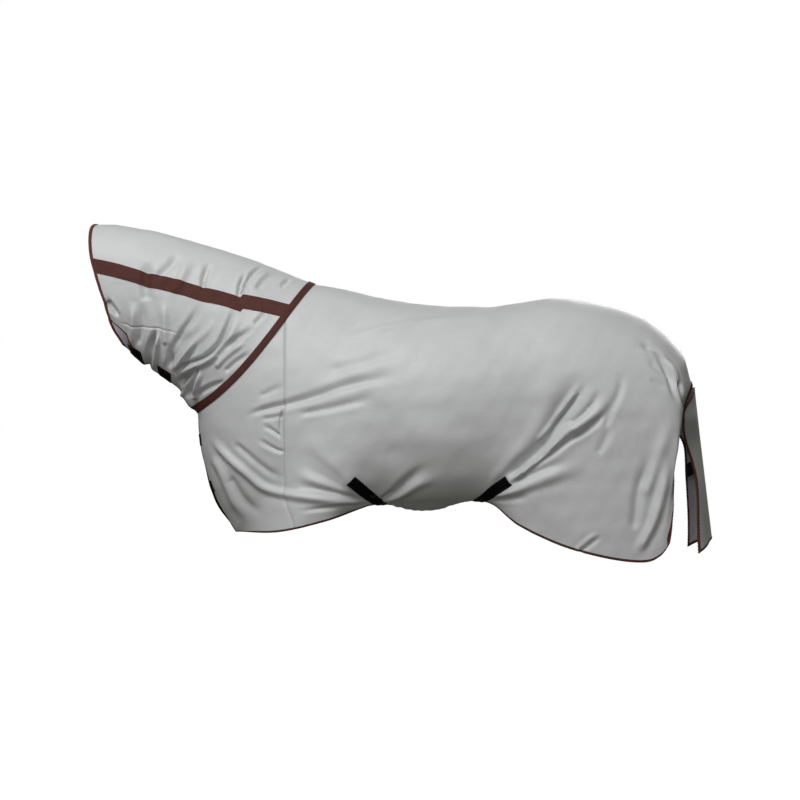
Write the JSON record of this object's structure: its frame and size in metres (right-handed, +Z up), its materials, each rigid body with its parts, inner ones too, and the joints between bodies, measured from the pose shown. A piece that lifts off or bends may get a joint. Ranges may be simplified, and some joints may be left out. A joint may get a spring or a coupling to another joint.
{
  "type": "full-neck fly sheet",
  "caption": "Silvery cloth fly sheet with fixed neck cover, brown bindings and neck bands, belly flap, chest and throat straps and a tail flap, in the shape it takes when worn.",
  "frame": {"origin": "on the withers, at the top of the seam between neck cover and body", "axes": "+X to the tail, -Y to the near (left) side, +Z up"},
  "size_m": [2.1316, 0.6116, 1.142],
  "materials": {
    "silver_cloth": "satin",
    "brown_binding": "matte",
    "black_webbing": "matte"
  },
  "bodies": {
    "sheet": {"back_seam_tape": "black_webbing", "barrel_panel_near": "silver_cloth", "barrel_panel_off": "silver_cloth", "belly_edge_near": "silver_cloth", "belly_edge_off": "brown_binding", "belly_loop_front_off": "black_webbing", "belly_loop_rear_off": "black_webbing", "belly_strap_front_near": "black_webbing", "belly_strap_rear_near": "black_webbing", "chest_binding_near": "brown_binding", "chest_binding_off": "brown_binding", "chest_lower_loop_off": "black_webbing", "chest_upper_loop_off": "black_webbing", "crest_seam_tape": "black_webbing", "flank_panel_near": "silver_cloth", "flank_panel_off": "silver_cloth", "hem_front_near": "brown_binding", "hem_front_off": "brown_binding", "hem_rear_near": "brown_binding", "hem_rear_off": "brown_binding", "neck_band_near": "brown_binding", "neck_band_off": "brown_binding", "neck_crest_panel_near": "silver_cloth", "neck_crest_panel_off": "silver_cloth", "neck_seam_binding_near": "brown_binding", "neck_seam_binding_off": "brown_binding", "neck_throat_panel_near": "silver_cloth", "neck_throat_panel_off": "silver_cloth", "poll_binding_near": "brown_binding", "poll_binding_off": "brown_binding", "quarter_panel_near": "silver_cloth", "quarter_panel_off": "silver_cloth", "rear_edge_binding_near": "brown_binding", "rear_edge_binding_off": "brown_binding", "shoulder_panel_near": "silver_cloth", "shoulder_panel_off": "silver_cloth", "throat_binding_near": "brown_binding", "throat_binding_off": "brown_binding", "throat_front_loop_off": "black_webbing", "throat_rear_loop_off": "black_webbing"},
    "belly_flap": {"belly_flap": "silver_cloth", "belly_flap_front_webbing": "black_webbing", "belly_flap_rear_webbing": "black_webbing", "belly_flap_end_binding": "brown_binding", "belly_hook_front": "black_webbing", "belly_hook_rear": "black_webbing"},
    "tail_flap": {"tail_flap": "silver_cloth", "tail_flap_binding_near": "brown_binding", "tail_flap_binding_off": "brown_binding", "tail_flap_hem": "brown_binding", "tail_strap": "black_webbing"},
    "throat_tab_front": {"throat_tab_front": "black_webbing"},
    "throat_tab_rear": {"throat_tab_rear": "black_webbing"},
    "chest_strap_upper": {"chest_strap_upper": "black_webbing"},
    "chest_strap_lower": {"chest_strap_lower": "black_webbing"}
  },
  "joints": [
    {"name": "tail_flap_lift", "type": "hinge", "parent": "sheet", "child": "tail_flap", "pos_m": [1.307, 0, -0.351], "axis": [0, -1, 0], "range_deg": [0, 80]},
    {"name": "belly_flap_drop", "type": "hinge", "parent": "sheet", "child": "belly_flap", "pos_m": [0.395, -0.13, -0.745], "axis": [-1, 0, 0], "range_deg": [0, 80]},
    {"name": "throat_tab_front_peel", "type": "hinge", "parent": "sheet", "child": "throat_tab_front", "pos_m": [-0.616, -0.075, -0.223], "axis": [-0.8308, 0.08, 0.5508], "range_deg": [0, 140]},
    {"name": "throat_tab_rear_peel", "type": "hinge", "parent": "sheet", "child": "throat_tab_rear", "pos_m": [-0.512, -0.0714, -0.2976], "axis": [-0.8394, 0.088, 0.5363], "range_deg": [0, 140]},
    {"name": "chest_strap_upper_peel", "type": "hinge", "parent": "sheet", "child": "chest_strap_upper", "pos_m": [-0.3948, -0.034, -0.5318], "axis": [-0.117, -0.019, 0.993], "range_deg": [0, 140]},
    {"name": "chest_strap_lower_peel", "type": "hinge", "parent": "sheet", "child": "chest_strap_lower", "pos_m": [-0.353, -0.0357, -0.6929], "axis": [-0.354, 0.017, 0.9351], "range_deg": [0, 140]}
  ]
}
